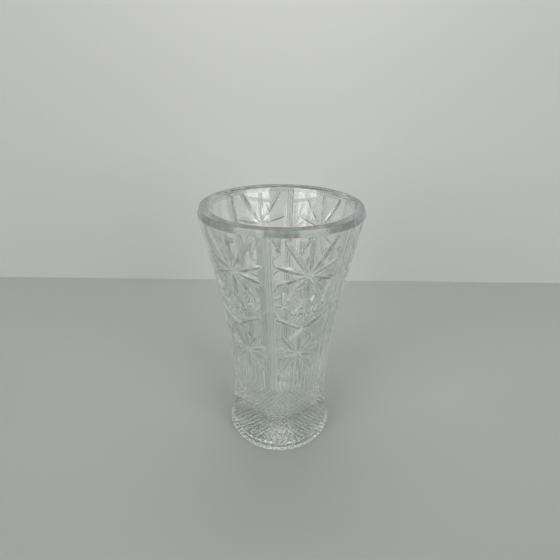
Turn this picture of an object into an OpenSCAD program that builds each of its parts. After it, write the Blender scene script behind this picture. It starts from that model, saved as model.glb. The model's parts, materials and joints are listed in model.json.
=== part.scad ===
// Cut crystal vase: a heavy flared glass vase with a wheel-cut outside and a smooth inside.
// The axis of the vase is Z and its flat underside rests on Z = 0.
// Six star panels alternate with six fluted columns. The +X axis runs through the middle of a star panel.
// The glass is one piece. Its regions are modelled as separate solids that meet on flat rings.

/* [Overall shape] */

// Height of the vase
height = 250; // [240:5:260]
// Diameter at the widest part, the lower edge of the rim
rim_diameter = 150.4; // [148:0.4:152]
// Diameter at the narrowest part of the outside
waist_diameter = 101; // [99:0.2:103]
// Height of the narrowest part
waist_height = 60; // [58:1:62]
// Diameter of the foot
foot_diameter = 112.4; // [110:0.2:114]
// Height at which the curved flare becomes straight
flare_height = 168; // [166:1:168]
// Thickness of the glass wall before cutting
wall = 11; // [10.5:0.5:11.5]
// Thickness of the solid floor
floor_thickness = 22; // [21:1:23]
// Rounding of the inside corner above the floor
floor_round = 18; // [16:1:18]

/* [Rim] */

// Height of the uncut band below the top
rim_band = 6; // [6:0.2:7]
// Height of the bevel round the outside of the rim
rim_bevel = 5.5; // [5:0.1:5.8]
// Diameter of the flat top across its outer edge
top_diameter = 146.8; // [146:0.2:147]
// Rounding of the outer edge of the flat top
top_round = 0.7; // [0.5:0.1:1]
// Width of the small bevel along the inner edge
lip_bevel = 1; // [0.8:0.1:1.2]
// Height of the small bevel along the inner edge
lip_bevel_deep = 1.6; // [1.4:0.1:1.8]

/* [Star panels] */

// Number of star panels round the vase
panels = 6; // [6:1:6]
// Height of the centre of the upper stars
upper_star_height = 209; // [208:1:210]
// Height of the centre of the lower stars
lower_star_height = 123; // [122:1:124]
// Rays in every star
star_rays = 10; // [10:1:10]
// Greatest depth of an upper ray
upper_ray_depth = 2.7; // [2.3:0.2:2.9]
// Greatest depth of a lower ray
lower_ray_depth = 2.2; // [1.8:0.2:2.4]
// Half of the opening angle of the star and mitre cuts
mitre_half_angle = 46; // [44:1:48]
// Height at which the mitre cuts between the stars cross
cross_height = 152; // [151:1:153]
// Depth of the mitre cuts between the stars
cross_depth = 1.2; // [1:0.1:1.4]
// Depth of the zigzag below the upper star
zigzag_depth = 1.1; // [0.9:0.1:1.2]
// Depth of the small fans beside the columns
fan_depth = 0.9; // [0.8:0.1:1]
// Depth of the fine crossed cuts
hatch_depth = 0.6; // [0.5:0.1:0.7]

/* [Columns and flutes] */

// Width of a column across all its flutes
column_width = 13.6; // [13:0.2:14]
// Width of the broad side of the broad flute
flute_width = 6.4; // [6:0.2:6.6]
// Depth of the broad flute
flute_depth = 2.4; // [2:0.2:2.6]
// Depth of the two fine flutes beside it
fine_depth = 1; // [0.8:0.1:1.2]
// Fine upright flutes round the waist
waist_flutes = 78; // [72:6:78]
// Depth of those flutes at their lower end
waist_flute_depth = 1.1; // [1:0.1:1.2]

/* [Diamond band] */

// Height of the top of the diamond cutting
band_top = 76; // [75:1:77]
// Diamonds in one ring of the band
diamonds = 64; // [60:4:64]
// Rings of diamonds above the floor, with the staggered rings between them counted too
diamond_rows = 20; // [20:2:22]
// Rings of the same diamonds that run on down the foot
foot_rows = 7; // [5:1:7]
// Height of a diamond above the grooves round it
diamond_relief = 1.6; // [1.4:0.1:1.7]

/* [Underside] */

// Rounding of the bottom edge
foot_round = 2; // [1.5:0.5:2.5]
// Diameter of the hollow inside the resting ring
hollow_diameter = 100; // [98:1:101]
// Depth of that hollow
hollow_depth = 2; // [1.5:0.5:2.5]
// Rays of the star cut in the underside
base_rays = 48; // [40:4:48]
// Depth of a base ray at its outer end
base_ray_depth = 2.6; // [2:0.2:2.6]

/* [Hidden] */

rim_r = rim_diameter / 2;
waist_r = waist_diameter / 2;
foot_r = foot_diameter / 2;
top_r = top_diameter / 2;
rim_z = height - rim_band;
edge_z = height - rim_bevel;
// Boundary between the upper and the lower wall
split_z = flare_height + 1;
// The points of the diamonds lie this far below the uncut outside
diamond_top = 0.05;
diamond_step = (band_top - floor_thickness) / diamond_rows;
foot_band_z = floor_thickness - foot_rows * diamond_step;
flare_slope = (rim_r - waist_r) / (edge_z - (flare_height + waist_height) / 2);
panel_angle = 360 / panels;
// Heights at which the sections of the curved outside are taken
band_sections = 5;
wall_sections = 6;
// Length by which every cutter runs past the glass
overrun = 12;
// A cut starts this far from the centre of its star, and this deep
star_gap = 1.2;
star_start = 0.2;
// A ray is deepest at this fraction of its length
ray_middle = 0.6;
// Part of that depth left at the tips, for the ray that points up and its neighbours down one side
ray_tips = [0.85, 0.85, 0.6, 0.1, 0.1, 0.1];
// Furthest reach of the rays: up, down and to each side
upper_reach = [33, 28, 28];
lower_reach = [21, 25, 21];
// The hand-cut stars do not all sit in the middle of their panels: angle to the side in every panel
upper_shifts = [0, 0, 0, 0, 5, 0];
lower_shifts = [0, 0, 0, 0, 7, -2.3];
// Arms of the crossing cuts: angle to each side, then rise or fall
cross_arms = [[23, 12], [15, -13]];
// A crossing cut runs past its meeting point by this angle
cross_overlap = 2;
// Corners of one half of the zigzag: angle, height
zigzag_points = [[0, 186], [10, 172], [19.5, 179]];
// Meeting point and ends of the cuts of a fan: angle, height
fan_top = [18.5, 194];
fan_ends = [[11, 186], [12.5, 181], [15, 178], [18, 177]];
// Fine crossed cuts: half width as an angle, lower and upper height, number each way
hatch_angle = 9;
hatch_low = 160;
hatch_high = 176;
hatch_count = 4;
// Fine flutes round the waist
waist_flutes_low = 74;
waist_flutes_high = 114;
waist_flute_end = 0.1;
waist_flute_half_angle = 62;
// Narrow side of the broad flute
flute_back = 1.6;
round_steps = 6;

// Sub-part to draw

$fn = 96;

// Outer radius of the uncut glass at height z
function outer_r(z) =
    z < waist_height ? waist_r + (foot_r - waist_r) * pow(1 - z / waist_height, 2) :
    z < flare_height ? waist_r + flare_slope * pow(z - waist_height, 2) / (2 * (flare_height - waist_height)) :
    rim_r - flare_slope * (edge_z - z);

// Radius of the smooth inside at height z
function inner_r(z) = outer_r(z) - wall;

// Evenly spaced heights from low to high
function heights(low, high, sections) = [for (i = [0:sections]) low + (high - low) * i / sections];

// Point at the given angle and height, a depth below the uncut outside
function on_wall(angle, z, depth) = [
    (outer_r(z) - depth) * cos(angle),
    (outer_r(z) - depth) * sin(angle),
    z
];

// Length of a star ray that points along angle, measured from straight up
function ray_length(angle, reach) = min(
    (cos(angle) > 0 ? reach[0] : reach[1]) / max(abs(cos(angle)), 0.01),
    reach[2] / max(abs(sin(angle)), 0.01)
);

// Ring of glass between two heights, with the cut outside still plain
module plain_ring(low, high, sections) {
    levels = heights(low, high, sections);
    rotate_extrude()
        polygon(concat(
            [for (z = levels) [outer_r(z), z]],
            [for (i = [sections:-1:0]) [inner_r(levels[i]), levels[i]]]
        ));
}

// Straight V-shaped cutter whose edge runs from one wall point to another, open to the outside
module mitre(angle_a, z_a, depth_a, angle_b, z_b, depth_b, half_angle) {
    middle = (angle_a + angle_b) / 2;
    from = on_wall(angle_a - middle, z_a, depth_a);
    to = on_wall(angle_b - middle, z_b, depth_b);
    run = to - from;
    long = norm(run);
    open = overrun * tan(half_angle);
    rotate([0, 0, middle])
        translate(from)
            rotate([atan2(-run[1], run[2]), 0, 0])
                rotate([0, asin(run[0] / long), 0])
                    linear_extrude(height = long)
                        polygon([[0, 0], [overrun, open], [overrun, -open]]);
}

// Point on the line of a star ray, away from the centre of the star
function ray_point(centre_z, turn, away) = [
    away * sin(turn) / outer_r(centre_z + away * cos(turn)) * 180 / PI,
    centre_z + away * cos(turn)
];

// Star of rays that are deepest past their middle
module star(centre_z, depth, reach) {
    for (i = [0:star_rays - 1]) {
        turn = i * 360 / star_rays;
        long = ray_length(turn, reach);
        start = ray_point(centre_z, turn, star_gap);
        middle = ray_point(centre_z, turn, ray_middle * long);
        tip = ray_point(centre_z, turn, long);
        tip_depth = depth * ray_tips[min(i, star_rays - i)];
        mitre(start[0], start[1], star_start, middle[0], middle[1], depth, mitre_half_angle);
        mitre(middle[0], middle[1], depth, tip[0], tip[1], tip_depth, mitre_half_angle);
    }
}

// A mitre cut and its mirror image on the other side of the middle of a panel
module both_sides(angle_a, z_a, angle_b, z_b, depth) {
    for (side = [-1, 1])
        mitre(side * angle_a, z_a, depth, side * angle_b, z_b, depth, mitre_half_angle);
}

// Cross between the upper and the lower star of a panel
module crossing() {
    for (arm = cross_arms) {
        before = arm[1] * cross_overlap / arm[0];
        both_sides(-cross_overlap, cross_height - before, arm[0], cross_height + arm[1], cross_depth);
    }
}

// Zigzag below the upper star
module zigzag() {
    for (i = [0:len(zigzag_points) - 2]) {
        from = zigzag_points[i];
        to = zigzag_points[i + 1];
        both_sides(from[0], from[1], to[0], to[1], zigzag_depth);
    }
}

// Two small fans beside the columns
module fans() {
    for (end = fan_ends)
        both_sides(fan_top[0], fan_top[1], end[0], end[1], fan_depth);
}

// Fine crossed cuts between the zigzag and the cross
module hatch() {
    for (i = [0:hatch_count - 1]) {
        shift = hatch_angle * (2 * i / (hatch_count - 1) - 1);
        both_sides(shift - hatch_angle / 2, hatch_low, shift + hatch_angle / 2, hatch_high, hatch_depth);
    }
}

// Fine upright flutes round the waist, fading out upwards
module flutes() {
    for (i = [0:waist_flutes - 1])
        rotate([0, 0, i * 360 / waist_flutes])
            mitre(0, waist_flutes_low, waist_flute_depth, 0, waist_flutes_high, waist_flute_end,
                waist_flute_half_angle);
}

// Cross-section of the flutes of one column, with the glass surface at the origin
module flute_section() {
    left = -column_width / 2;
    bottom = left + flute_width;
    ridge = bottom + flute_back;
    fine = (column_width / 2 - ridge) / 2;
    polygon([
        [0, left],
        [-flute_depth, bottom],
        [0, ridge],
        [-fine_depth, ridge + fine / 2],
        [0, ridge + fine],
        [-fine_depth, ridge + 3 * fine / 2],
        [0, column_width / 2],
        [overrun, column_width / 2],
        [overrun, left]
    ]);
}

// Flutes of one column, following the outside from level to level
module column(low, high, sections) {
    levels = heights(low, high, sections);
    for (i = [0:sections - 1]) {
        lean = atan2(outer_r(levels[i + 1]) - outer_r(levels[i]), levels[i + 1] - levels[i]);
        translate([outer_r(levels[i]), 0, levels[i]])
            rotate([0, lean, 0])
                translate([0, 0, -overrun / 40])
                    linear_extrude(height = (levels[i + 1] - levels[i]) / cos(lean) + overrun / 20)
                        flute_section();
    }
}

// Plain rim with a flat top and a bevel down to its widest edge
module rim() {
    lean = atan2(rim_r - top_r, rim_bevel);
    bevel_z = height - lip_bevel_deep;
    color([0.86, 0.90, 0.89])
        rotate_extrude()
            polygon(concat(
                [[inner_r(rim_z), rim_z], [outer_r(rim_z), rim_z], [rim_r, edge_z]],
                [for (i = [0:round_steps])
                    let (turn = lean + (90 - lean) * i / round_steps)
                        [top_r - top_round * (1 - cos(turn)), height - top_round * (1 - sin(turn))]],
                [[inner_r(bevel_z) + lip_bevel, height], [inner_r(bevel_z), bevel_z]]
            ));
}

// Straight flare with the six large stars, the zigzags, the fans and the tops of the columns
module star_wall() {
    color([0.80, 0.86, 0.84])
        difference() {
            plain_ring(split_z, rim_z, 1);
            for (i = [0:panels - 1])
                rotate([0, 0, i * panel_angle]) {
                    rotate([0, 0, upper_shifts[i]])
                        star(upper_star_height, upper_ray_depth, upper_reach);
                    zigzag();
                    fans();
                    hatch();
                    rotate([0, 0, panel_angle / 2])
                        column(split_z, rim_z, 1);
                }
        }
}

// Curved waist with the small stars, the crosses, the fine flutes and the columns
module mitre_wall() {
    color([0.74, 0.81, 0.79])
        difference() {
            plain_ring(band_top, split_z, wall_sections);
            for (i = [0:panels - 1])
                rotate([0, 0, i * panel_angle]) {
                    rotate([0, 0, lower_shifts[i]])
                        star(lower_star_height, lower_ray_depth, lower_reach);
                    crossing();
                    hatch();
                    rotate([0, 0, panel_angle / 2])
                        column(band_top, split_z, wall_sections);
                }
            flutes();
        }
}

// Solid whose side is covered with small pointed diamonds between crossing grooves.
// The plain rings below them are given as radius and height, from the bottom up.
module diamond_block(low, rows, plain) {
    around = 2 * diamonds;
    first = len(plain);
    levels = heights(low, low + rows * diamond_step, rows);
    count = first + rows + 1;
    points = [
        for (row = [0:count - 1])
            for (i = [0:around - 1])
                let (
                    cut = (rows + row - first + i) % 2 == 0 ? diamond_relief : diamond_top,
                    z = row < first ? plain[row][1] : levels[row - first],
                    r = row < first ? plain[row][0] : outer_r(z) - cut
                )
                    [r * cos(i * 360 / around), r * sin(i * 360 / around), z]
    ];
    sides = [
        for (row = [0:count - 2])
            for (i = [0:around - 1])
                let (a = row * around + i, b = row * around + (i + 1) % around, c = a + around, d = b + around)
                    each (rows + row + first + i) % 2 == 0 ? [[a, c, d], [a, d, b]] : [[a, c, b], [b, c, d]]
    ];
    bottom = [for (i = [0:around - 1]) i];
    top = [for (i = [around - 1:-1:0]) (count - 1) * around + i];
    polyhedron(points = points, faces = concat(sides, [bottom, top]), convexity = 4);
}

// Diamond cutting between the floor and the waist
module diamond_band() {
    color([0.68, 0.77, 0.75])
        difference() {
            diamond_block(floor_thickness, diamond_rows, []);
            cavity();
        }
}

// Smooth inside of the lower part of the vase
module cavity() {
    levels = heights(floor_thickness + floor_round, band_top, band_sections);
    corner_r = inner_r(floor_thickness + floor_round) - floor_round;
    rotate_extrude()
        polygon(concat(
            [[0, band_top + 1], [0, floor_thickness]],
            [for (i = [0:round_steps - 1]) [
                corner_r + floor_round * sin(i * 90 / round_steps),
                floor_thickness + floor_round * (1 - cos(i * 90 / round_steps))
            ]],
            [for (z = levels) [inner_r(z), z]],
            [[inner_r(band_top), band_top + 1]]
        ));
}

// Hollow of the underside with rays that deepen from its centre outwards
module base_star() {
    around = 2 * base_rays;
    long = hollow_diameter / 2 - star_gap;
    ring = [for (i = [0:around - 1]) [long * cos(i * 360 / around), long * sin(i * 360 / around)]];
    deep = [hollow_depth + base_ray_depth, hollow_depth + star_start];
    lower = [for (xy = ring) [xy[0], xy[1], -star_gap]];
    upper = [for (i = [0:around - 1]) [ring[i][0], ring[i][1], deep[i % 2]]];
    centre = 2 * around;
    sides = [
        for (i = [0:around - 1])
            let (j = (i + 1) % around)
                each [[i, i + around, j + around], [i, j + around, j], [i + around, centre, j + around]]
    ];
    polyhedron(
        points = concat(lower, upper, [[0, 0, deep[1]]]),
        faces = concat(sides, [[for (i = [0:around - 1]) i]]),
        convexity = 4
    );
}

// Thick foot and floor, resting on a flat ring round the hollow underside
module base() {
    rounding = [
        for (i = [0:round_steps])
            let (turn = i * 90 / round_steps)
                [outer_r(foot_round) - foot_round * (1 - sin(turn)), foot_round * (1 - cos(turn))]
    ];
    color([0.62, 0.73, 0.71])
        difference() {
            diamond_block(foot_band_z, foot_rows, rounding);
            translate([0, 0, -1])
                cylinder(h = hollow_depth + 1, d = hollow_diameter);
            base_star();
        }
}

base();
diamond_band();
mitre_wall();
star_wall();
rim();
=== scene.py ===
import json
from math import asin, atan2, ceil, cos, pi, radians, sin, tan

import bmesh
import bpy
import numpy as np
from mathutils import Matrix, Vector

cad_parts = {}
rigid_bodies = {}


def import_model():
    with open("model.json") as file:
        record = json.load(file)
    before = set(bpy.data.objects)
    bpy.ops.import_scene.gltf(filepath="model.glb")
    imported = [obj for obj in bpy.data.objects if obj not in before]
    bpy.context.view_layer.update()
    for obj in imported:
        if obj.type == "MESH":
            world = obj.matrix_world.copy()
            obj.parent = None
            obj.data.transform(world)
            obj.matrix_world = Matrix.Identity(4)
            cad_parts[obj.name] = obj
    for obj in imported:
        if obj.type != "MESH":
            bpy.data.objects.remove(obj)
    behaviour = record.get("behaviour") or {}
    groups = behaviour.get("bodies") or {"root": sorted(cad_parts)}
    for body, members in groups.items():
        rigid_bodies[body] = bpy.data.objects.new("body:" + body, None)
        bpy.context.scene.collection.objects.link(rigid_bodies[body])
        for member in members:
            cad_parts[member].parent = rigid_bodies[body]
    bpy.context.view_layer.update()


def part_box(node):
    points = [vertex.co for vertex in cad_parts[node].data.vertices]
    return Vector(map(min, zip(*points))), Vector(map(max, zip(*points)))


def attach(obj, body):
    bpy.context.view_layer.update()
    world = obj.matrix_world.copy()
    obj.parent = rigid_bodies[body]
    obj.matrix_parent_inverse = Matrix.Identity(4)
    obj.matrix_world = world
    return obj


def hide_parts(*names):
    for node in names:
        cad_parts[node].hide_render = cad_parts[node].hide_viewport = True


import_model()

MM = 0.001

# Heights where the regions end, in millimetres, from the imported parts
RIM_LOW, RIM_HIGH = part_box("rim")
HEIGHT = RIM_HIGH[2] / MM
RIM_Z = RIM_LOW[2] / MM
SPLIT_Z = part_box("star_wall")[0][2] / MM
BAND_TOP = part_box("diamond_band")[1][2] / MM
FLOOR_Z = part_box("base")[1][2] / MM

# Outline of the glass, in millimetres
RIM_R = 75.2
WAIST_R = 50.5
FOOT_R = 56.2
WAIST_Z = 60.0
FLARE_Z = 168.0
WALL = 11.0
EDGE_Z = 244.5
FLARE_SLOPE = (RIM_R - WAIST_R) / (EDGE_Z - (FLARE_Z + WAIST_Z) / 2)
FLOOR_ROUND = 18.0
FOOT_ROUND = 2.0
TOP_R = 73.4
TOP_ROUND = 0.7
LIP_BEVEL = 1.0
LIP_BEVEL_DEEP = 1.6
HOLLOW_R = 50.0
HOLLOW_DEPTH = 2.0
HOLLOW_ROUND = 1.2

# Fineness of the smooth surfaces, in parts, millimetres and degrees
AROUND = 288
STEP = 3.0
COLUMN_STEP = 6.0
ROUND_STEPS = 8
CORNER_STEPS = 12
UNDERSIDE_RINGS = (12.0, 24.0, 36.0)
FLOOR_RINGS = (20.0, 10.0)
FOOT_ARC_END = -9
SHARP_ANGLE = 12.0

# The cut pattern, in millimetres and degrees
PANELS = 6
PANEL_ANGLE = 360.0 / PANELS
STAR_RAYS = 10
RAY_STEPS = 8
RAY_MIDDLE = 0.6
RAY_FULLNESS = 2.6
RAY_TIPS = (0.85, 0.85, 0.6, 0.1, 0.1, 0.1)
UPPER_SHIFTS = (0.0, 0.0, 0.0, 0.0, 5.0, 0.0)
LOWER_SHIFTS = (0.0, 0.0, 0.0, 0.0, 7.0, -2.3)
STAR_GAP = 1.2
STAR_START = 0.2
RAY_END_DEPTH = 0.05
UPPER_STAR_Z = 209.0
UPPER_REACH = (33.0, 28.0, 28.0)
UPPER_DEPTH = 2.7
LOWER_STAR_Z = 123.0
LOWER_REACH = (21.0, 25.0, 21.0)
LOWER_DEPTH = 2.2
MITRE_HALF_ANGLE = 46.0
CROSS_Z = 152.0
CROSS_DEPTH = 1.5
CROSS_OVERLAP = 2.0
CROSS_ARMS = ((23.0, 12.0), (15.0, -13.0))
ZIGZAG = ((0.0, 186.0), (10.0, 172.0), (19.5, 179.0))
ZIGZAG_DEPTH = 1.5
FAN_TOP = (18.5, 194.0)
FAN_ENDS = ((11.0, 186.0), (12.5, 181.0), (15.0, 178.0), (18.0, 177.0))
FAN_DEPTH = 1.4
HATCH = (9.0, 160.0, 176.0, 4)
HATCH_DEPTH = 0.8
FLUTES = 78
FLUTES_LOW = 74.0
FLUTES_HIGH = 114.0
FLUTES_DEPTH = 1.1
FLUTES_END_DEPTH = 0.1
FLUTES_HALF_ANGLE = 62.0
COLUMN_WIDTH = 13.6
FLUTE_WIDTH = 6.4
FLUTE_BACK = 1.6
FLUTE_DEPTH = 2.4
FINE_DEPTH = 1.0
COLUMN_PROUD = 0.02
DIAMONDS = 64
DIAMOND_ROWS = 20
FOOT_ROWS = 7
DIAMOND_RELIEF = 1.6
DIAMOND_TOP = 0.05
BASE_RAYS = 48
BASE_RAY_DEPTH = 2.6
OVERRUN = 12.0
LEAST_SLANT = 0.01

# The small unevenness of hand cutting, in millimetres and degrees
UNEVEN_SEED = 7
UNEVEN_RELIEF = 0.3
UNEVEN_PLACE = 0.3
UNEVEN_DEPTH = 0.12
UNEVEN_TURN = 1.5
HAND = np.random.default_rng(UNEVEN_SEED)

# Where the joint faces between the regions of the one piece of glass are, in millimetres
JOINT_RISE = 0.35
JOINTS = (FLOOR_Z + JOINT_RISE, BAND_TOP + JOINT_RISE, SPLIT_Z, RIM_Z + JOINT_RISE)
END_MARGIN = 1.0

# Width of the worn, rounded edges of the cuts and of the painted white highlights along them, and the
# stretch beside a joint that has none, in metres
EDGE_WEAR_AND_HIGHLIGHT = 0.0007
JOINT_MARGIN = 0.0012

# Material slots of every region: its own glass, the joints, the cut faces, the lip, the joint under the rim
# that carries a painted dark line of shade
GLASS_SLOT = 0
JOINT_SLOT = 1
CUT_SLOT = 2
LIP_SLOT = 3
RIM_JOINT_SHADE_SLOT = 4

# How closely a face matches a joint or the uncut outline, in millimetres and cosines
JOINT_NEAR = 1e-3
JOINT_FLAT = 0.999
ALONG_SLACK = 0.02
AWAY_SLACK = 0.03
SAME_WAY = 0.9995
LIP_SLACK = 0.01
AXIS_R = 1e-6


def outer_r(z):
    """Radius of the uncut outside at height z."""
    if z < WAIST_Z:
        return WAIST_R + (FOOT_R - WAIST_R) * (1 - z / WAIST_Z) ** 2
    if z < FLARE_Z:
        return WAIST_R + FLARE_SLOPE * (z - WAIST_Z) ** 2 / (2 * (FLARE_Z - WAIST_Z))
    return RIM_R - FLARE_SLOPE * (EDGE_Z - z)


def inner_r(z):
    """Radius of the smooth inside at height z."""
    return outer_r(z) - WALL


def heights(low, high, step):
    """Evenly spaced heights from low to high, at most step apart."""
    count = max(1, ceil((high - low) / step))
    return [low + (high - low) * i / count for i in range(count + 1)]


def arc(centre_r, centre_z, radius, start, end, count=ROUND_STEPS):
    """Points of an arc in the plane of the outline, angles in degrees from outwards."""
    points = []
    for i in range(count + 1):
        a = radians(start + (end - start) * i / count)
        points.append((centre_r + radius * cos(a), centre_z + radius * sin(a)))
    return points


def outline():
    """Closed outline of the uncut glass from the axis below, round the outside and down the inside."""
    points = [(0.0, HOLLOW_DEPTH)]
    points += [(r, HOLLOW_DEPTH) for r in UNDERSIDE_RINGS]
    points += arc(HOLLOW_R - HOLLOW_ROUND, HOLLOW_DEPTH - HOLLOW_ROUND, HOLLOW_ROUND, 90, 0)
    points.append((HOLLOW_R, 0.0))
    foot_r = outer_r(FOOT_ROUND)
    points += arc(foot_r - FOOT_ROUND, FOOT_ROUND, FOOT_ROUND, -90, FOOT_ARC_END)
    points += [(outer_r(z), z) for z in heights(FOOT_ROUND, EDGE_Z, STEP)[1:]]
    lean = np.degrees(atan2(outer_r(EDGE_Z) - TOP_R, HEIGHT - EDGE_Z))
    points += arc(TOP_R - TOP_ROUND, HEIGHT - TOP_ROUND, TOP_ROUND, lean, 90)
    bevel_z = HEIGHT - LIP_BEVEL_DEEP
    points.append((inner_r(bevel_z) + LIP_BEVEL, HEIGHT))
    low = FLOOR_Z + FLOOR_ROUND
    points += [(inner_r(z), z) for z in reversed(heights(low, bevel_z, STEP))]
    corner_r = inner_r(low) - FLOOR_ROUND
    points += arc(corner_r, low, FLOOR_ROUND, 0, -90, CORNER_STEPS)[1:]
    points += [(r, FLOOR_Z) for r in FLOOR_RINGS]
    points.append((0.0, FLOOR_Z))
    return points


def outline_normals(points):
    """Normals of the outline at both ends of each stretch, smooth unless the outline has a corner there."""
    p = np.array(points)
    d = np.diff(p, axis=0)
    d /= np.linalg.norm(d, axis=1)[:, None]
    n = np.stack([d[:, 1], -d[:, 0]], axis=1)
    start = n.copy()
    end = n.copy()
    for i in range(1, len(n)):
        if np.dot(n[i - 1], n[i]) > cos(radians(SHARP_ANGLE)):
            mean = n[i - 1] + n[i]
            mean /= np.linalg.norm(mean)
            end[i - 1] = mean
            start[i] = mean
    return p, n, start, end


def new_object(name, mesh):
    """Link a new object for the mesh."""
    obj = bpy.data.objects.new(name, mesh)
    bpy.context.scene.collection.objects.link(obj)
    return obj


def mesh_from(name, verts, faces):
    """Mesh in metres from points in millimetres."""
    mesh = bpy.data.meshes.new(name)
    mesh.from_pydata([(x * MM, y * MM, z * MM) for x, y, z in verts], [], faces)
    return mesh


def revolve(name, points):
    """Closed surface of revolution whose outline starts and ends on the axis."""
    verts = []
    rings = []
    for r, z in points:
        if r == 0:
            rings.append([len(verts)])
            verts.append((0.0, 0.0, z))
        else:
            rings.append(list(range(len(verts), len(verts) + AROUND)))
            for i in range(AROUND):
                a = 2 * pi * i / AROUND
                verts.append((r * cos(a), r * sin(a), z))
    faces = []
    for low, high in zip(rings, rings[1:]):
        for i in range(AROUND):
            j = (i + 1) % AROUND
            if len(low) == 1:
                faces.append((low[0], high[j], high[i]))
            elif len(high) == 1:
                faces.append((low[i], low[j], high[0]))
            else:
                faces.append((low[i], low[j], high[j], high[i]))
    return mesh_from(name, verts, faces)


def prism(section, long):
    """Points and faces of a straight prism along Z from a section given anticlockwise."""
    n = len(section)
    verts = [(x, y, 0.0) for x, y in section] + [(x, y, long) for x, y in section]
    faces = [tuple(reversed(range(n))), tuple(range(n, 2 * n))]
    faces += [(i, (i + 1) % n, n + (i + 1) % n, n + i) for i in range(n)]
    return verts, faces


def on_wall(angle, z, depth):
    """Point at an angle and height, a depth below the uncut outside."""
    r = outer_r(z) - depth
    return Vector((r * cos(radians(angle)), r * sin(radians(angle)), z))


def mitre(angle_a, z_a, depth_a, angle_b, z_b, depth_b, half_angle=MITRE_HALF_ANGLE, turn=0.0):
    """Straight V-shaped cutter whose edge runs from one wall point to another, open to the outside."""
    middle = (angle_a + angle_b) / 2
    start = on_wall(angle_a - middle, z_a, depth_a)
    run = on_wall(angle_b - middle, z_b, depth_b) - start
    wide = OVERRUN * tan(radians(half_angle))
    verts, faces = prism([(0.0, 0.0), (OVERRUN, -wide), (OVERRUN, wide)], run.length)
    place = Matrix.Rotation(radians(middle + turn), 4, "Z") @ Matrix.Translation(start)
    place = place @ Matrix.Rotation(atan2(-run.y, run.z), 4, "X")
    place = place @ Matrix.Rotation(asin(run.x / run.length), 4, "Y")
    return [place @ Vector(v) for v in verts], faces


def ray_length(angle, reach):
    """Length of a star ray that points along angle, measured from straight up."""
    a = radians(angle)
    up = reach[0] if cos(a) > 0 else reach[1]
    return min(up / max(abs(cos(a)), LEAST_SLANT), reach[2] / max(abs(sin(a)), LEAST_SLANT))


def sweep(sections, closed=False):
    """Points and faces of a solid swept through sections with the same number of points."""
    n = len(sections[0])
    verts = [v for section in sections for v in section]
    faces = []
    count = len(sections)
    for k in range(count if closed else count - 1):
        a = k * n
        b = ((k + 1) % count) * n
        faces += [(a + i, a + (i + 1) % n, b + (i + 1) % n, b + i) for i in range(n)]
    if not closed:
        faces.append(tuple(reversed(range(n))))
        faces.append(tuple(range((count - 1) * n, count * n)))
    return verts, faces


def ray(centre_z, depth, reach, angle, turn):
    """Cutter of one wheel-cut ray of a star, deepest past its middle and fading out at both ends."""
    up = cos(radians(angle))
    side = sin(radians(angle))
    long = ray_length(angle, reach)
    order = round(angle * STAR_RAYS / 360) % STAR_RAYS
    path = []
    for i in range(RAY_STEPS + 1):
        t = i / RAY_STEPS
        s = abs(t - RAY_MIDDLE) / (RAY_MIDDLE if t < RAY_MIDDLE else 1 - RAY_MIDDLE)
        rest = RAY_TIPS[min(order, STAR_RAYS - order)] if t > RAY_MIDDLE else RAY_END_DEPTH / depth
        away = STAR_GAP + (long - STAR_GAP) * t
        z = centre_z + away * up
        deep = depth * (rest + (1 - rest) * (1 - s ** RAY_FULLNESS))
        path.append(on_wall(np.degrees(away * side / outer_r(z)) + turn, z, deep))
    middle = path[RAY_STEPS // 2]
    out = Vector((middle.x, middle.y, 0)).normalized()
    run = (path[-1] - path[0]).normalized()
    out = (out - out.dot(run) * run).normalized()
    wide = run.cross(out) * OVERRUN * tan(radians(MITRE_HALF_ANGLE))
    return sweep([[p, p + out * OVERRUN - wide, p + out * OVERRUN + wide] for p in path])


def star(centre_z, depth, reach, turn):
    """Cutters of the rays of one star."""
    cuts = []
    for i in range(STAR_RAYS):
        deep = depth * (1 + UNEVEN_DEPTH * HAND.uniform(-1, 1))
        lean = UNEVEN_TURN * HAND.uniform(-1, 1)
        cuts.append(ray(centre_z, deep, reach, i * 360.0 / STAR_RAYS + lean, turn))
    return cuts


def both_sides(angle_a, z_a, angle_b, z_b, depth, turn):
    """A mitre cut and its mirror image on the other side of a panel's middle."""
    return [mitre(side * angle_a, z_a, depth, side * angle_b, z_b, depth, turn=turn) for side in (-1, 1)]


def crossing(turn):
    """Cutters of the cross between the upper and the lower star of a panel."""
    cuts = []
    for angle, rise in CROSS_ARMS:
        before = rise * CROSS_OVERLAP / angle
        cuts += both_sides(-CROSS_OVERLAP, CROSS_Z - before, angle, CROSS_Z + rise, CROSS_DEPTH, turn)
    return cuts


def zigzag(turn):
    """Cutters of the zigzag under the upper star."""
    cuts = []
    for (angle_a, z_a), (angle_b, z_b) in zip(ZIGZAG, ZIGZAG[1:]):
        cuts += both_sides(angle_a, z_a, angle_b, z_b, ZIGZAG_DEPTH, turn)
    return cuts


def fans(turn):
    """Cutters of the two small fans beside the columns."""
    cuts = []
    for angle, z in FAN_ENDS:
        cuts += both_sides(FAN_TOP[0], FAN_TOP[1], angle, z, FAN_DEPTH, turn)
    return cuts


def hatch(turn):
    """Fine crossed cuts between the zigzag and the cross."""
    wide, low, high, count = HATCH
    cuts = []
    for i in range(count):
        shift = wide * (2 * i / (count - 1) - 1)
        cuts += both_sides(shift - wide / 2, low, shift + wide / 2, high, HATCH_DEPTH, turn)
    return cuts


def flutes():
    """Fine upright flutes between the lower stars and the diamonds, fading out upwards."""
    low = (0.0, FLUTES_LOW, FLUTES_DEPTH)
    high = (0.0, FLUTES_HIGH, FLUTES_END_DEPTH)
    return [mitre(*low, *high, FLUTES_HALF_ANGLE, 360.0 * i / FLUTES) for i in range(FLUTES)]


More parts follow.
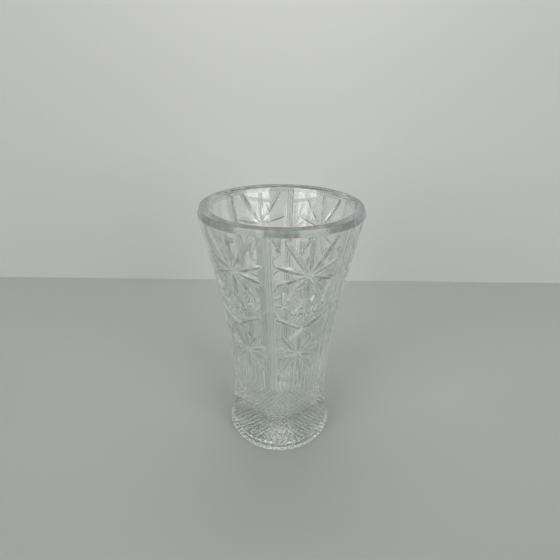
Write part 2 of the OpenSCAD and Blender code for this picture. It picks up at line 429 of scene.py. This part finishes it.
def column(turn):
    """Cutter of the three flutes of one column, which follows the outside from the band to the rim."""
    left = -COLUMN_WIDTH / 2
    bottom = left + FLUTE_WIDTH
    ridge = bottom + FLUTE_BACK
    fine = (COLUMN_WIDTH / 2 - ridge) / 2
    profile = [(COLUMN_PROUD, left), (-FLUTE_DEPTH, bottom), (COLUMN_PROUD, ridge),
               (-FINE_DEPTH, ridge + fine / 2), (COLUMN_PROUD, ridge + fine),
               (-FINE_DEPTH, ridge + 1.5 * fine), (COLUMN_PROUD, COLUMN_WIDTH / 2),
               (OVERRUN, COLUMN_WIDTH / 2), (OVERRUN, left)]
    spin = Matrix.Rotation(radians(turn), 4, "Z")
    sections = []
    for z in heights(BAND_TOP, RIM_Z, COLUMN_STEP):
        sections.append([spin @ Vector((outer_r(z) + x, y, z)) for x, y in reversed(profile)])
    return sweep(sections)


def is_low(row, i):
    """Whether a corner of the diamond grid lies deep, between the diamonds."""
    return (row + FOOT_ROWS + 1 + i) % 2 == 0


def diamond_corners(levels):
    """Points of the diamond cutter: its inner side, uneven as hand cutting is, then its outer edges."""
    around = 2 * DIAMONDS
    verts = []
    for row, z in enumerate(levels):
        for i in range(around):
            deep = DIAMOND_RELIEF if is_low(row, i) else DIAMOND_TOP
            if row == 0:
                deep = -DIAMOND_TOP
            a = 2 * pi * i / around
            if 1 < row < len(levels) - 1:
                deep += UNEVEN_RELIEF * HAND.uniform(0, 1)
                a += UNEVEN_PLACE * HAND.uniform(-1, 1) / FOOT_R
            r = outer_r(z) - deep
            verts.append((r * cos(a), r * sin(a), z))
    r = FOOT_R + OVERRUN
    for z in (levels[0], levels[-1]):
        verts += [(r * cos(2 * pi * i / around), r * sin(2 * pi * i / around), z) for i in range(around)]
    return verts


def diamond_ring():
    """Ring-shaped cutter that leaves the diamonds of the foot and the band standing."""
    around = 2 * DIAMONDS
    step = (BAND_TOP - FLOOR_Z) / DIAMOND_ROWS
    rows = FOOT_ROWS + DIAMOND_ROWS + 1
    levels = [FOOT_ROUND] + [FLOOR_Z + step * (i - FOOT_ROWS) for i in range(rows)]
    faces = []
    for row in range(rows):
        for i in range(around):
            a = row * around + i
            b = row * around + (i + 1) % around
            c = a + around
            d = b + around
            if is_low(row, i):
                faces += [(a, c, d), (a, d, b)]
            else:
                faces += [(a, c, b), (b, c, d)]
    top = rows * around
    wide = top + around
    for i in range(around):
        j = (i + 1) % around
        faces.append((i, j, wide + j, wide + i))
        faces.append((top + j, top + i, wide + around + i, wide + around + j))
        faces.append((wide + i, wide + j, wide + around + j, wide + around + i))
    return diamond_corners(levels), faces


def base_star():
    """Cutter of the rays in the underside, which deepen from its centre outwards."""
    around = 2 * BASE_RAYS
    long = HOLLOW_R - STAR_GAP - HOLLOW_ROUND
    deep = (HOLLOW_DEPTH + BASE_RAY_DEPTH, HOLLOW_DEPTH + STAR_START)
    verts = [(0.0, 0.0, deep[1])]
    faces = [tuple(reversed(range(1, around + 1)))]
    for level in range(2):
        for i in range(around):
            a = 2 * pi * i / around
            verts.append((long * cos(a), long * sin(a), deep[i % 2] if level else -STAR_GAP))
    for i in range(around):
        a = 1 + i
        b = 1 + (i + 1) % around
        faces += [(a, b, b + around), (a, b + around, a + around), (a + around, b + around, 0)]
    return verts, faces


def all_cuts():
    """Every cutter of the pattern."""
    cuts = [diamond_ring(), base_star()] + flutes()
    for k in range(PANELS):
        turn = k * PANEL_ANGLE
        cuts += star(UPPER_STAR_Z, UPPER_DEPTH, UPPER_REACH, turn + UPPER_SHIFTS[k])
        cuts += star(LOWER_STAR_Z, LOWER_DEPTH, LOWER_REACH, turn + LOWER_SHIFTS[k])
        cuts += crossing(turn) + zigzag(turn) + fans(turn) + hatch(turn)
        cuts.append(column(turn + PANEL_ANGLE / 2))
    return cuts


def with_boolean(obj, operation, others):
    """Mesh of the object after one boolean with a collection of others."""
    group = bpy.data.collections.new("cutters")
    bpy.context.scene.collection.children.link(group)
    for verts, faces in others:
        cutter = bpy.data.objects.new("cutter", mesh_from("cutter", verts, faces))
        group.objects.link(cutter)
    mod = obj.modifiers.new("cut", "BOOLEAN")
    mod.operation = operation
    mod.solver = "MANIFOLD"
    mod.operand_type = "COLLECTION"
    mod.collection = group
    bpy.context.view_layer.update()
    graph = bpy.context.evaluated_depsgraph_get()
    mesh = bpy.data.meshes.new_from_object(obj.evaluated_get(graph))
    obj.modifiers.remove(mod)
    for cutter in list(group.objects):
        spent = cutter.data
        bpy.data.objects.remove(cutter)
        bpy.data.meshes.remove(spent)
    bpy.data.collections.remove(group)
    return mesh


def slab(low, high):
    """Wide box between two heights."""
    wide = 2 * RIM_R
    verts, faces = prism([(-wide, -wide), (wide, -wide), (wide, wide), (-wide, wide)], high - low)
    return [(x, y, z + low) for x, y, z in verts], faces


def is_lip(start, end):
    """Whether a stretch of the outline is part of the satin top of the rim."""
    inner = inner_r(HEIGHT) + LIP_BEVEL
    return min(start[1], end[1]) > EDGE_Z - LIP_SLACK and max(start[0], end[0]) > inner


def face_arrays(mesh):
    """Places of the face corners, normals and centres of the faces, and the face of each corner."""
    count = len(mesh.polygons)
    co = np.empty(len(mesh.vertices) * 3)
    mesh.vertices.foreach_get("co", co)
    normal = np.empty(count * 3)
    mesh.polygons.foreach_get("normal", normal)
    centre = np.empty(count * 3)
    mesh.polygons.foreach_get("center", centre)
    loops = np.empty(len(mesh.loops), dtype=np.int32)
    mesh.loops.foreach_get("vertex_index", loops)
    totals = np.empty(count, dtype=np.int32)
    mesh.polygons.foreach_get("loop_total", totals)
    corners = (co.reshape(-1, 3) / MM)[loops]
    owner = np.repeat(np.arange(count), totals)
    return corners, normal.reshape(-1, 3), centre.reshape(-1, 3) / MM, owner


def outwards(places):
    """Distance of each place from the axis, and the direction away from it."""
    r = np.hypot(places[:, 0], places[:, 1])
    return r, places[:, :2] / np.maximum(r, AXIS_R)[:, None]


def first_slots(normal, centre):
    """Slot of each face as if none of it were uncut: a joint, a cut, or diamonds in the region's glass."""
    slots = np.full(len(centre), GLASS_SLOT, dtype=np.int32)
    for z in JOINTS:
        inner = (abs(centre[:, 2] - z) < JOINT_NEAR) & (abs(normal[:, 2]) > JOINT_FLAT)
        slots[inner] = RIM_JOINT_SHADE_SLOT if z == JOINTS[-1] else JOINT_SLOT
    cut = (centre[:, 2] > BAND_TOP) | (centre[:, 2] < 2 * HOLLOW_DEPTH)
    slots[(slots == GLASS_SLOT) & cut] = CUT_SLOT
    return slots


def on_stretch(a, d, long, flat, mid_r, mid_z, mid_n):
    """Whether each face lies on one straight stretch of the outline."""
    along = (mid_r - a[0]) * d[0] + (mid_z - a[1]) * d[1]
    away = abs((mid_r - a[0]) * d[1] - (mid_z - a[1]) * d[0])
    same = (mid_n * flat).sum(axis=1) > SAME_WAY
    return (along > -ALONG_SLACK) & (along < long + ALONG_SLACK) & (away < AWAY_SLACK) & same


def finish_surface(mesh, points):
    """Exact smooth normals on the uncut surfaces, flat ones on the cuts, and the slot of every face."""
    p, flat, start, end = outline_normals(points)
    mesh.materials.clear()
    where, face_n, centre, owner = face_arrays(mesh)
    slots = first_slots(face_n, centre)
    joint = (slots == JOINT_SLOT) | (slots == RIM_JOINT_SHADE_SLOT)
    normals = face_n[owner].copy()
    r, out = outwards(where)
    mid_r, mid_out = outwards(centre)
    mid_n = np.stack([(face_n[:, :2] * mid_out).sum(axis=1), face_n[:, 2]], axis=1)
    for i in range(len(flat)):
        a = p[i]
        d = p[i + 1] - a
        long = np.linalg.norm(d)
        d = d / long
        hit = on_stretch(a, d, long, flat[i], mid_r, centre[:, 2], mid_n) & ~joint
        slots[hit] = LIP_SLOT if is_lip(a, p[i + 1]) else GLASS_SLOT
        pick = hit[owner]
        if not pick.any():
            continue
        t = ((r[pick] - a[0]) * d[0] + (where[pick, 2] - a[1]) * d[1]) / long
        t = np.clip(t, 0, 1)[:, None]
        n2 = start[i] * (1 - t) + end[i] * t
        n3 = np.stack([out[pick, 0] * n2[:, 0], out[pick, 1] * n2[:, 0], n2[:, 1]], axis=1)
        normals[pick] = n3 / np.linalg.norm(n3, axis=1)[:, None]
    mesh.polygons.foreach_set("material_index", slots)
    mesh.polygons.foreach_set("use_smooth", np.ones(len(slots), dtype=bool))
    mesh.normals_split_custom_set([tuple(n) for n in normals])
    mesh.update()


# Tints of the glass
CLEAR = (0.992, 0.999, 0.994, 1.0)
WAIST = (0.955, 0.972, 0.96, 1.0)
DIAMOND = (0.935, 0.957, 0.942, 1.0)
FOOT = (0.90, 0.93, 0.915, 1.0)
CUT = (0.87, 0.905, 0.895, 1.0)
LIP = (0.77, 0.85, 0.86, 1.0)
# Near-black tint of the joint faces, the colour of the painted shade line under the rim
JOINT_SHADE_TINT = (0.01, 0.02, 0.02, 1.0)

# Each glass: its name, tint, roughness, how much rougher its smears are, its waves in metres, and the
# strength of the painted white highlights along its worn cut edges (None where its edges are not worn)
CUT_GLASS = ("wheel_cut_crystal", CUT, 0.18, 0.08, 0.00003, 0.85)
LIP_GLASS = ("lip_crystal", LIP, 0.14, 0.08, 0.00006, None)
REGION_GLASS = {
    "base": ("foot_crystal", FOOT, 0.03, 0.05, 0.00006, 0.0),
    "diamond_band": ("diamond_crystal", DIAMOND, 0.03, 0.06, 0.00002, 0.0),
    "mitre_wall": ("waist_crystal", WAIST, 0.01, 0.05, 0.00004, None),
    "star_wall": ("star_crystal", CLEAR, 0.012, 0.04, 0.00004, None),
    "rim": ("rim_crystal", CLEAR, 0.006, 0.03, 0.00006, None),
}
# Painted shade: the joint under the rim is a faint dark sheet that draws a dark line round the rim
RIM_JOINT_PAINTED_SHADE = 0.11

# What every glass shares: refraction, its smears and waves, and how far the normal turns at worn edges
# before the painted white highlight shows
GLASS_IOR = 1.54
SMEAR_SCALE = 34.0
SMEAR_DETAIL = 3.0
SMEAR_SPAN = (0.35, 0.75)
WAVE_SCALE = 55.0
WAVE_DETAIL = 1.0
WEAR_AND_HIGHLIGHT_SAMPLES = 8
HIGHLIGHT_SPAN = (0.995, 0.95)


def crystal(name, colour, roughness, grain, wave, edge_highlight):
    """Colourless lead crystal with a faint green-grey cast, unevenly polished and gently wavy."""
    mat = bpy.data.materials.new(name)
    mat.use_nodes = True
    tree = mat.node_tree
    shader = tree.nodes["Principled BSDF"]
    shader.inputs["Base Color"].default_value = colour
    shader.inputs["Transmission Weight"].default_value = 1.0
    shader.inputs["IOR"].default_value = GLASS_IOR
    place = tree.nodes.new("ShaderNodeTexCoord")
    smear = tree.nodes.new("ShaderNodeTexNoise")
    smear.inputs["Scale"].default_value = SMEAR_SCALE
    smear.inputs["Detail"].default_value = SMEAR_DETAIL
    spread = tree.nodes.new("ShaderNodeMapRange")
    spread.inputs["From Min"].default_value = SMEAR_SPAN[0]
    spread.inputs["From Max"].default_value = SMEAR_SPAN[1]
    spread.inputs["To Min"].default_value = roughness
    spread.inputs["To Max"].default_value = roughness + grain
    wavy = tree.nodes.new("ShaderNodeTexNoise")
    wavy.inputs["Scale"].default_value = WAVE_SCALE
    wavy.inputs["Detail"].default_value = WAVE_DETAIL
    bump = tree.nodes.new("ShaderNodeBump")
    bump.inputs["Strength"].default_value = 1.0
    bump.inputs["Distance"].default_value = wave
    tree.links.new(place.outputs["Object"], smear.inputs["Vector"])
    tree.links.new(smear.outputs["Fac"], spread.inputs["Value"])
    tree.links.new(spread.outputs["Result"], shader.inputs["Roughness"])
    tree.links.new(place.outputs["Object"], wavy.inputs["Vector"])
    tree.links.new(wavy.outputs["Fac"], bump.inputs["Height"])
    tree.links.new(bump.outputs["Normal"], shader.inputs["Normal"])
    # Worn, rounded cut edges, with painted white highlights along them
    if edge_highlight is not None:
        worn_edges_and_highlights(tree, shader, place, bump, edge_highlight)
    return mat


def near_joints(tree, place):
    """Value that is 1 beside the inner joint faces, where the glass has no real edge."""
    split = tree.nodes.new("ShaderNodeSeparateXYZ")
    tree.links.new(place.outputs["Object"], split.inputs["Vector"])
    found = None
    for z in JOINTS:
        close = tree.nodes.new("ShaderNodeMath")
        close.operation = "COMPARE"
        close.inputs[1].default_value = z * MM
        close.inputs[2].default_value = JOINT_MARGIN
        tree.links.new(split.outputs["Z"], close.inputs[0])
        if found is None:
            found = close
            continue
        both = tree.nodes.new("ShaderNodeMath")
        both.operation = "MAXIMUM"
        tree.links.new(found.outputs["Value"], both.inputs[0])
        tree.links.new(close.outputs["Value"], both.inputs[1])
        found = both
    return found.outputs["Value"]


def worn_edges_and_highlights(tree, shader, place, bump, edge_highlight):
    """Rounded edges where the cut faces meet, with fine painted white highlights along them where the
    highlight strength is above 0.
    """
    true = tree.nodes.new("ShaderNodeNewGeometry")
    edges = tree.nodes.new("ShaderNodeBevel")
    edges.samples = WEAR_AND_HIGHLIGHT_SAMPLES
    edges.inputs["Radius"].default_value = EDGE_WEAR_AND_HIGHLIGHT
    joint = near_joints(tree, place)
    normal = tree.nodes.new("ShaderNodeMix")
    normal.data_type = "VECTOR"
    tree.links.new(joint, normal.inputs[0])
    tree.links.new(edges.outputs["Normal"], normal.inputs[4])
    tree.links.new(true.outputs["Normal"], normal.inputs[5])
    tree.links.new(normal.outputs[1], bump.inputs["Normal"])
    if edge_highlight == 0:
        return
    # Painted highlight: along the edges the glass turns less clear, so its pale base colour shows as white
    # lines
    lean = tree.nodes.new("ShaderNodeVectorMath")
    lean.operation = "DOT_PRODUCT"
    highlight_mask = tree.nodes.new("ShaderNodeMapRange")
    highlight_mask.inputs["From Min"].default_value = HIGHLIGHT_SPAN[0]
    highlight_mask.inputs["From Max"].default_value = HIGHLIGHT_SPAN[1]
    highlight_mask.inputs["To Min"].default_value = 1.0
    highlight_mask.inputs["To Max"].default_value = 1.0 - edge_highlight
    tree.links.new(true.outputs["True Normal"], lean.inputs[0])
    tree.links.new(edges.outputs["Normal"], lean.inputs[1])
    tree.links.new(lean.outputs["Value"], highlight_mask.inputs["Value"])
    clear = tree.nodes.new("ShaderNodeMath")
    clear.operation = "MAXIMUM"
    tree.links.new(highlight_mask.outputs["Result"], clear.inputs[0])
    tree.links.new(joint, clear.inputs[1])
    tree.links.new(clear.outputs["Value"], shader.inputs["Transmission Weight"])


def joint_glass_and_shade(name, painted_shade):
    """Inner face where two regions of the one piece of glass meet: clear, or a faint dark sheet of painted
    shade.
    """
    mat = bpy.data.materials.new(name)
    mat.use_nodes = True
    shader = mat.node_tree.nodes["Principled BSDF"]
    shader.inputs["Base Color"].default_value = JOINT_SHADE_TINT
    shader.inputs["Specular IOR Level"].default_value = 0.0
    shader.inputs["Alpha"].default_value = painted_shade
    return mat


def build_vase():
    """The five regions of the cut glass, each a closed piece."""
    points = outline()
    whole = new_object("whole", revolve("whole", points))
    cut = new_object("cut", with_boolean(whole, "DIFFERENCE", all_cuts()))
    joint = joint_glass_and_shade("joint_face", 0.0)
    # The joint under the rim is dimmed to paint a dark line of shade round the rim
    rim_shade_joint = joint_glass_and_shade("rim_joint_painted_shade", RIM_JOINT_PAINTED_SHADE)
    shared = [joint, crystal(*CUT_GLASS), crystal(*LIP_GLASS), rim_shade_joint]
    edges = (-END_MARGIN,) + JOINTS + (HEIGHT + END_MARGIN,)
    for name, low, high in zip(REGION_GLASS, edges, edges[1:]):
        mesh = with_boolean(cut, "INTERSECT", [slab(low, high)])
        finish_surface(mesh, points)
        for material in [crystal(*REGION_GLASS[name])] + shared:
            mesh.materials.append(material)
        piece = new_object("glass_" + name, mesh)
        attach(piece, "root")
        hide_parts(name)
    for spare in (whole, cut):
        bpy.data.objects.remove(spare)


# The camera: a wide phone lens close to the vase and above it
CAMERA_TURN = -79.6
CAMERA_AWAY = 0.3551
CAMERA_UP = 0.3503
CAMERA_PITCH = 26.56
CAMERA_ROLL = 0.56
CAMERA_AIM = 0.132
CAMERA_LENS = 25.97
CAMERA_SENSOR = 36.0
CAMERA_NEAR = 0.01


def camera():
    """The camera at the photograph's viewing angle."""
    data = bpy.data.cameras.new("camera")
    data.lens = CAMERA_LENS
    data.sensor_width = CAMERA_SENSOR
    data.clip_start = CAMERA_NEAR
    cam = bpy.data.objects.new("camera", data)
    bpy.context.scene.collection.objects.link(cam)
    a = radians(CAMERA_TURN)
    place = Matrix.Translation((CAMERA_AWAY * cos(a), CAMERA_AWAY * sin(a), CAMERA_UP))
    place = place @ Matrix.Rotation(a + pi / 2 + radians(CAMERA_AIM), 4, "Z")
    place = place @ Matrix.Rotation(radians(90 - CAMERA_PITCH), 4, "X")
    place = place @ Matrix.Rotation(radians(CAMERA_ROLL), 4, "Z")
    cam.matrix_world = place
    bpy.context.scene.camera = cam


def plain_material(name, colour, roughness):
    """Matt surface of the stage."""
    mat = bpy.data.materials.new(name)
    mat.use_nodes = True
    shader = mat.node_tree.nodes["Principled BSDF"]
    shader.inputs["Base Color"].default_value = colour
    shader.inputs["Roughness"].default_value = roughness
    return mat


def towards_camera():
    """Turn that brings the front of the stage round to the camera."""
    return Matrix.Rotation(radians(CAMERA_TURN + 90), 4, "Z")


def panel(name, corners, material):
    """Flat quad of the stage."""
    turn = towards_camera()
    mesh = bpy.data.meshes.new(name)
    mesh.from_pydata([turn @ Vector(c) for c in corners], [], [tuple(range(len(corners)))])
    mesh.materials.append(material)
    obj = new_object(name, mesh)
    return obj


def upright(y, half, low, high):
    """Corners of an upright quad across the stage."""
    return [(-half, y, low), (half, y, low), (half, y, high), (-half, y, high)]


# The stage, in metres: floor, backdrop, the dark card behind the camera, and the pale wall all round
FLOOR_GAP = 0.0002
STAGE_BACK = 0.346
STAGE_REACH = 0.85
CARD_BACK = -0.6
CARD_HALF = 0.24
CARD_TOP = 0.95
SURROUND_R = 1.5
SURROUND_SEGMENTS = 64
SURROUND_RINGS = 32
FLOOR_PAINT = (0.468, 0.485, 0.45, 1.0)
FLOOR_ROUGHNESS = 0.6
BACKDROP_PAINT = (0.53, 0.527, 0.513, 1.0)
BACKDROP_ROUGHNESS = 0.8
CARD_PAINT = (0.02, 0.02, 0.02, 1.0)
CARD_ROUGHNESS = 0.9
SURROUND_PAINT = (0.0, 0.0, 0.0, 1.0)
SURROUND_GLOW = (0.46, 0.465, 0.45, 1.0)


def stage():
    """Pale floor and a lighter backdrop behind it, and a dark card that only the glass shows."""
    corners = upright(CARD_BACK, CARD_HALF, FLOOR_GAP, CARD_TOP)
    card = panel("dark_card", corners, plain_material("dark_card_paint", CARD_PAINT, CARD_ROUGHNESS))
    card.visible_camera = False
    surround()
    ends = ((-STAGE_REACH, -STAGE_REACH), (STAGE_REACH, -STAGE_REACH))
    ends += ((STAGE_REACH, STAGE_BACK), (-STAGE_REACH, STAGE_BACK))
    corners = [(x, y, -FLOOR_GAP) for x, y in ends]
    panel("floor", corners, plain_material("floor_paint", FLOOR_PAINT, FLOOR_ROUGHNESS))
    corners = upright(STAGE_BACK, STAGE_REACH, -FLOOR_GAP, STAGE_REACH)
    panel("backdrop", corners, plain_material("backdrop_paint", BACKDROP_PAINT, BACKDROP_ROUGHNESS))


def surround():
    """Pale studio wall all round, seen by the camera only, so that the lights are left as they are."""
    mesh = bpy.data.meshes.new("surround")
    shape = bmesh.new()
    bmesh.ops.create_uvsphere(
        shape, u_segments=SURROUND_SEGMENTS, v_segments=SURROUND_RINGS, radius=SURROUND_R)
    shape.to_mesh(mesh)
    shape.free()
    mat = bpy.data.materials.new("surround_paint")
    mat.use_nodes = True
    shader = mat.node_tree.nodes["Principled BSDF"]
    shader.inputs["Base Color"].default_value = SURROUND_PAINT
    shader.inputs["Emission Color"].default_value = SURROUND_GLOW
    shader.inputs["Emission Strength"].default_value = 1.0
    mesh.materials.append(mat)
    obj = new_object("surround", mesh)
    obj.visible_diffuse = False
    obj.visible_glossy = False
    obj.visible_transmission = False
    obj.visible_volume_scatter = False
    obj.visible_shadow = False


# The lights: name, watts, width and height, place, and the point each looks at, in metres
LIGHTS = (
    ("window_left", 33.0, (1.9, 1.7), (-1.6, -1.8, 1.03), (0, 0, 0.25)),
    ("window_right", 33.0, (1.9, 1.7), (1.6, -1.8, 1.03), (0, 0, 0.25)),
    ("wall_wash", 0.8, (0.5, 0.1), (0.0, 0.12, 0.8), (0, STAGE_BACK, 0.3)),
    ("ceiling", 6.0, (3.0, 3.0), (0.0, -0.3, 2.4), (0, 0, 0)),
    ("room", 14.0, (3.2, 2.0), (0.0, -2.6, 1.2), (0, 0, 0.3)),
)

# The patchy room that the glass shows: size and detail of its patches, and its dark and light ends
ROOM_SCALE = 4.5
ROOM_DETAIL = 3.0
ROOM_DARK = (0.50, (0.012, 0.016, 0.016, 1.0))
ROOM_LIGHT = (0.57, (0.68, 0.75, 0.76, 1.0))

# Light paths deep enough for cut glass
GLASS_BOUNCES = 40
GLOSS_BOUNCES = 10
CLEAR_BOUNCES = 64
CLAMP = 6.0


def light(name, energy, size, position, target):
    """Area light that looks at a point."""
    data = bpy.data.lights.new(name, "AREA")
    data.energy = energy
    data.shape = "RECTANGLE"
    data.size = size[0]
    data.size_y = size[1]
    lamp = bpy.data.objects.new(name, data)
    bpy.context.scene.collection.objects.link(lamp)
    turn = towards_camera()
    place = turn @ Vector(position)
    aim = turn @ Vector(target)
    lamp.location = place
    lamp.rotation_euler = (aim - place).to_track_quat("-Z", "Y").to_euler()


def room():
    """Patchy surroundings, so that the glass has something uneven to show."""
    world = bpy.data.worlds.new("room")
    world.use_nodes = True
    tree = world.node_tree
    back = tree.nodes["Background"]
    place = tree.nodes.new("ShaderNodeTexCoord")
    patches = tree.nodes.new("ShaderNodeTexNoise")
    patches.inputs["Scale"].default_value = ROOM_SCALE
    patches.inputs["Detail"].default_value = ROOM_DETAIL
    ramp = tree.nodes.new("ShaderNodeValToRGB")
    for stop, (position, colour) in zip(ramp.color_ramp.elements, (ROOM_DARK, ROOM_LIGHT)):
        stop.position = position
        stop.color = colour
    tree.links.new(place.outputs["Generated"], patches.inputs["Vector"])
    tree.links.new(patches.outputs["Fac"], ramp.inputs["Fac"])
    tree.links.new(ramp.outputs["Color"], back.inputs["Color"])
    bpy.context.scene.world = world


def lights():
    """Soft daylight: two wide windows behind the camera in an uneven room."""
    for row in LIGHTS:
        light(*row)
    room()


def view_settings():
    """Light paths deep enough for cut glass, and a plain view transform."""
    scene = bpy.context.scene
    scene.cycles.max_bounces = GLASS_BOUNCES
    scene.cycles.transmission_bounces = GLASS_BOUNCES
    scene.cycles.glossy_bounces = GLOSS_BOUNCES
    scene.cycles.transparent_max_bounces = CLEAR_BOUNCES
    scene.cycles.sample_clamp_indirect = CLAMP
    scene.view_settings.view_transform = "Standard"


camera()
build_vase()
stage()
lights()
view_settings()
